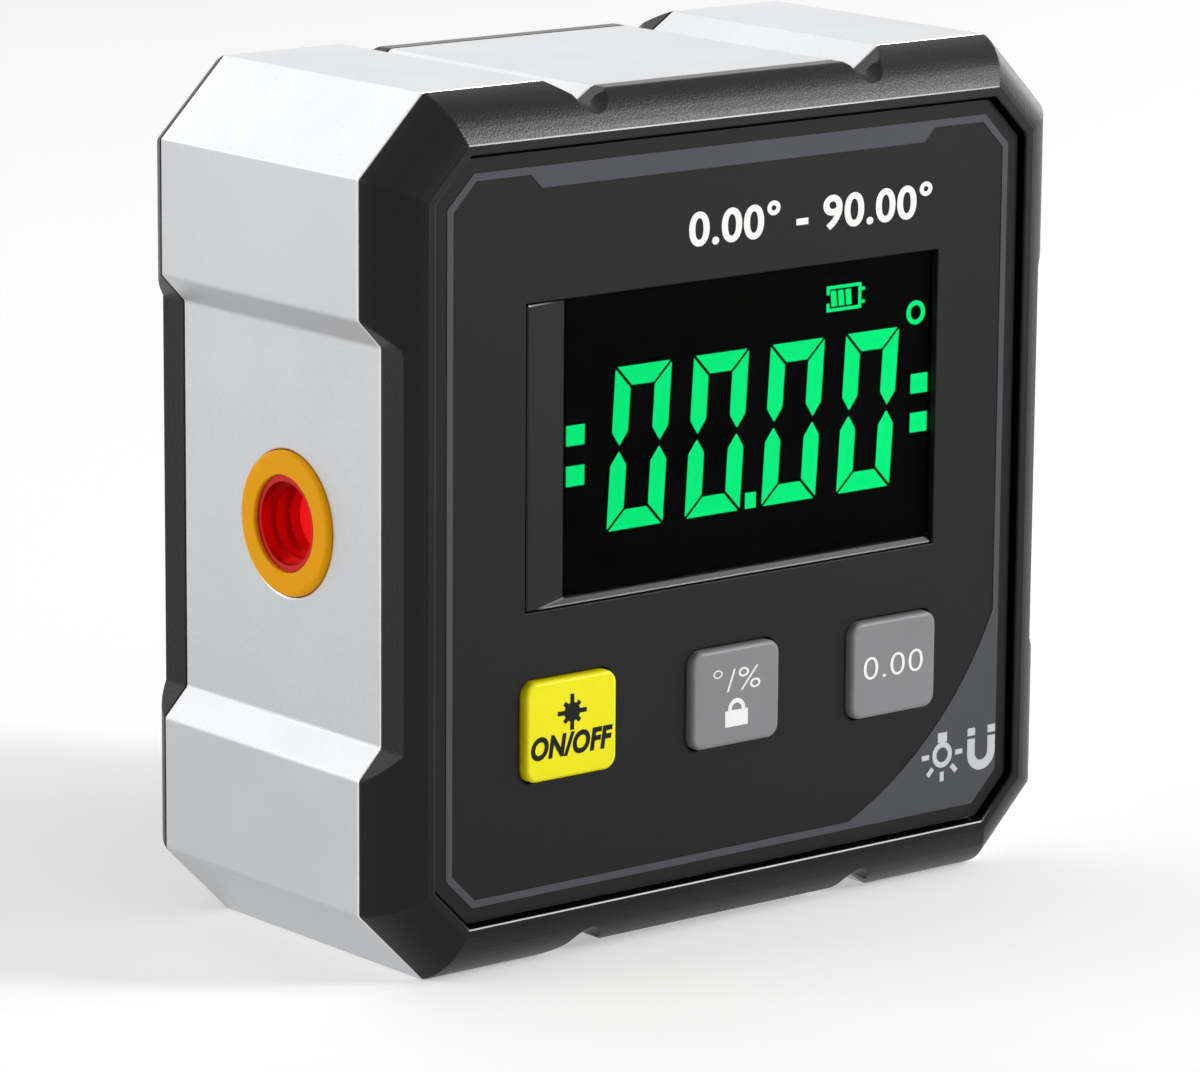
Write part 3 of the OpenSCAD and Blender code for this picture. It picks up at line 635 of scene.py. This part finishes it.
class GAUGE_OT_keys(bpy.types.Operator):
    """Finishes the keys and prints their legends"""
    bl_idname = "gauge.keys"
    bl_label = "Keys"

    def execute(self, context):
        tones = colours()
        yellow = satin_sheet("satin_yellow_key", tones.yellow, roughness=0.42, tooth=KEY_TOOTH, level=0.22)
        grey = satin_sheet("satin_grey_key", tones.key_grey, roughness=0.42, tooth=KEY_TOOTH, level=0.3)
        black = satin_sheet("black_pad_ink", tones.black, roughness=0.5, tooth=FINE_TOOTH, level=0.15)
        white = satin_sheet("white_pad_ink", tones.white, roughness=0.5, tooth=FINE_TOOTH, level=0.3)
        finish(yellow, "power_key")
        finish(grey, "hold_key", "zero_key")
        x, face, z = key_face("power_key")
        rays = star((x, z + 1.15 * MM), core=0.72 * MM, long=1.35 * MM, short=1.02 * MM, width=0.34 * MM)
        ink("power_sign", [rays], face, black, "power_button")
        words("power_words", "ON/OFF", width=7.6 * MM, height=1.75 * MM, centre=(x, z - 1.2 * MM),
              face_y=face, material=black, body="power_button", bold=0.04, slant=0.18)
        x, face, z = key_face("hold_key")
        words("unit_words", "\u00b0/%", width=4.6 * MM, height=1.8 * MM, centre=(x, z + 1.3 * MM),
              face_y=face, material=white, body="hold_button", bold=-0.008)
        ink("lock_sign", lock_sign(x, z - 1.3 * MM), face, white, "hold_button")
        x, face, z = key_face("zero_key")
        words("zero_words", "0.00", width=6.0 * MM, height=1.75 * MM, centre=(x - 0.1 * MM, z + 0.15 * MM),
              face_y=face, material=white, body="zero_button", bold=-0.01)
        return {"FINISHED"}


class GAUGE_OT_signs(bpy.types.Operator):
    """Prints the numerals and the signs on the face plate"""
    bl_idname = "gauge.signs"
    bl_label = "Signs"

    def execute(self, context):
        tones = colours()
        white = satin_sheet("white_screen_ink", tones.white, roughness=0.5, tooth=SCREEN_TOOTH, level=0.3)
        grey = satin_sheet(
            "light_grey_screen_ink", tones.sign_grey, roughness=0.5, tooth=SCREEN_TOOTH, level=0.3)
        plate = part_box("face_plate")[0][1]
        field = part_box("face_print")[0][1]
        words("range_words", "0.00\u00b0 - 90.00\u00b0", width=23.8 * MM, height=2.75 * MM,
              centre=(7.3 * MM, 53.4 * MM), face_y=plate, material=white, body=HOUSING,
              bold=0.024)
        ink("lamp_sign", lamp_sign(21.3 * MM, 10.0 * MM), field, grey, HOUSING)
        ink("magnet_sign", magnet_sign(25.35 * MM, 9.65 * MM), field, grey, HOUSING)
        return {"FINISHED"}


class GAUGE_OT_outlets(bpy.types.Operator):
    """Finishes the light outlets"""
    bl_idname = "gauge.outlets"
    bl_label = "Light outlets"

    def execute(self, context):
        orange = satin_sheet(
            "satin_orange_ring", colours().ring, roughness=0.38, tooth=SHEET_TOOTH, level=0.08)
        finish(orange, "left_ring", "right_ring")
        # The barrels' red is painted light: it stands in for the red glow of the source on the bore walls.
        finish(turned_metal("barrel_painted_red_glow", linear("#c4282a"), roughness=0.3),
               "left_barrel", "right_barrel")
        finish(red_lens(), "left_lens", "right_lens")
        finish(turned_metal("gilt_header", linear("#c9a24a"), roughness=0.3), "left_diode", "right_diode")
        return {"FINISHED"}


class GAUGE_OT_inside(bpy.types.Operator):
    """Finishes the pieces inside and the fasteners"""
    bl_idname = "gauge.inside"
    bl_label = "Inside"

    def execute(self, context):
        resist = satin_sheet(
            "green_solder_resist", linear("#1d6a3a"), roughness=0.35, tooth=SHEET_TOOTH, level=0.5)
        finish(resist, "circuit_board")
        finish(satin_sheet("moulded_chip_epoxy", linear("#242424"), roughness=0.55, tooth=FINE_TOOTH),
               "controller_chip", "tilt_sensor")
        finish(satin_sheet("conductive_rubber", linear("#cfa3ae"), roughness=0.7, tooth=FINE_TOOTH),
               "contact_strip")
        finish(satin_sheet("black_plunger", linear("#303032"), roughness=0.5, tooth=FINE_TOOTH),
               "power_plunger", "hold_plunger", "zero_plunger")
        finish(printed_sleeve("upper_cell", 1.0), "upper_cell")
        finish(printed_sleeve("lower_cell", -1.0), "lower_cell")
        finish(turned_metal("stamped_switch_steel", linear("#a8abb0"), roughness=0.35), "key_switches")
        finish(turned_metal("nickel_contact", linear("#d0d2d4"), roughness=0.25),
               "cell_springs", "link_contact", "end_contacts")
        finish(turned_metal("nickel_magnet", linear("#b9bbbe"), roughness=0.28), "base_magnets")
        finish(turned_metal("blackened_screw", linear("#3a3b3d"), roughness=0.4), "cover_screws")
        finish(turned_metal("zinc_screw", linear("#b5b8bc"), roughness=0.35), "board_screws")
        return {"FINISHED"}


def shown_rays(tree):
    """1 for the rays that show the surroundings to the camera, directly or in metal and glass."""
    rays = add(tree, "ShaderNodeLightPath")
    seen = add(tree, "ShaderNodeMath", {
        0: rays.outputs["Is Camera Ray"], 1: rays.outputs["Is Glossy Ray"]}, operation="MAXIMUM")
    return add(tree, "ShaderNodeMath", {
        0: seen.outputs["Value"], 1: rays.outputs["Is Transmission Ray"]},
        operation="MAXIMUM").outputs["Value"]


def add_floor(scene):
    """A pale floor, lifted to the background's white for the rays that show the surroundings."""
    material, tree, shader, _ = start("pale_floor")
    shader.inputs["Base Color"].default_value = (*colours().floor, 1.0)
    shader.inputs["Roughness"].default_value = 0.7
    shader.inputs["Specular IOR Level"].default_value = 0.1
    shader.inputs["Emission Color"].default_value = (1.0, 1.0, 1.0, 1.0)
    lift = add(tree, "ShaderNodeMath", {0: shown_rays(tree), 1: FLOOR_LIFT}, operation="MULTIPLY")
    tree.links.new(lift.outputs["Value"], shader.inputs["Emission Strength"])
    corners = np.array([[-1, -1, 0], [1, -1, 0], [1, 1, 0], [-1, 1, 0]]) * FLOOR_REACH
    mesh = bpy.data.meshes.new("floor")
    mesh.from_pydata(corners.tolist(), [], [(0, 1, 2, 3)])
    mesh.materials.append(material)
    floor = bpy.data.objects.new("floor", mesh)
    scene.collection.objects.link(floor)


def add_room(scene):
    """A white room: full for the rays that show the surroundings, and a dim fill for the rest."""
    world = bpy.data.worlds.new("studio")
    world.use_nodes = True
    scene.world = world
    tree = world.node_tree
    tree.nodes.clear()
    level = add(tree, "ShaderNodeMapRange", {"Value": shown_rays(tree), "To Min": ROOM_FILL})
    glow = add(tree, "ShaderNodeBackground", {
        "Color": (1.0, 1.0, 1.0, 1.0), "Strength": level.outputs["Result"]})
    add(tree, "ShaderNodeOutputWorld", {"Surface": glow.outputs["Background"]})


def add_softbox(scene, name, spot, wide, tall, power):
    """A soft lamp that faces the gauge."""
    lamp = bpy.data.lights.new(name, "AREA")
    lamp.shape = "RECTANGLE"
    lamp.size = wide
    lamp.size_y = tall
    lamp.energy = power
    holder = bpy.data.objects.new(name, lamp)
    scene.collection.objects.link(holder)
    back = (Vector(spot) - Vector(SOFTBOX_AIM)).normalized()
    holder.matrix_world = Matrix.Translation(spot) @ back.to_track_quat("Z", "Y").to_matrix().to_4x4()


def add_camera(scene):
    """The camera, from its fitted axes and place."""
    camera = bpy.data.cameras.new("photo_camera")
    camera.sensor_width = CAMERA_SENSOR
    camera.sensor_fit = "HORIZONTAL"
    camera.lens = CAMERA_LENS
    camera.clip_start = CAMERA_NEAR
    eye = bpy.data.objects.new("photo_camera", camera)
    scene.collection.objects.link(eye)
    turn = Matrix((CAMERA_RIGHT, CAMERA_UP, CAMERA_BACK)).transposed().to_4x4()
    eye.matrix_world = Matrix.Translation(CAMERA_PLACE) @ turn
    scene.camera = eye


class GAUGE_OT_stage(bpy.types.Operator):
    """Sets the floor, the soft light and the camera"""
    bl_idname = "gauge.stage"
    bl_label = "Stage"

    def execute(self, context):
        scene = context.scene
        scene.view_settings.view_transform = "Standard"
        add_floor(scene)
        add_room(scene)
        for softbox in SOFTBOXES:
            add_softbox(scene, *softbox)
        add_camera(scene)
        return {"FINISHED"}


OPERATORS = (
    GAUGE_OT_frame, GAUGE_OT_covers, GAUGE_OT_face, GAUGE_OT_display, GAUGE_OT_keys, GAUGE_OT_signs,
    GAUGE_OT_outlets, GAUGE_OT_inside, GAUGE_OT_stage)


class GAUGE_PT_panel(bpy.types.Panel):
    """Lists the dressing's steps, sizes and colours"""
    bl_idname = "GAUGE_PT_panel"
    bl_label = "Angle gauge"
    bl_space_type = "VIEW_3D"
    bl_region_type = "UI"
    bl_category = "Gauge"

    def draw(self, context):
        for step in OPERATORS:
            self.layout.operator(step.bl_idname)
        for group in (sizes(), colours()):
            for name in group.__annotations__:
                self.layout.prop(group, name)


CLASSES = (GaugeSizes, GaugeColours, *OPERATORS, GAUGE_PT_panel)


def register():
    for part in CLASSES:
        bpy.utils.register_class(part)
    bpy.types.Scene.gauge_sizes = bpy.props.PointerProperty(type=GaugeSizes)
    bpy.types.Scene.gauge_colours = bpy.props.PointerProperty(type=GaugeColours)


def unregister():
    del bpy.types.Scene.gauge_colours
    del bpy.types.Scene.gauge_sizes
    for part in reversed(CLASSES):
        bpy.utils.unregister_class(part)


def main():
    register()
    for step in OPERATORS:
        getattr(bpy.ops.gauge, step.bl_idname.split(".")[1])()


if __name__ == "__main__":
    main()
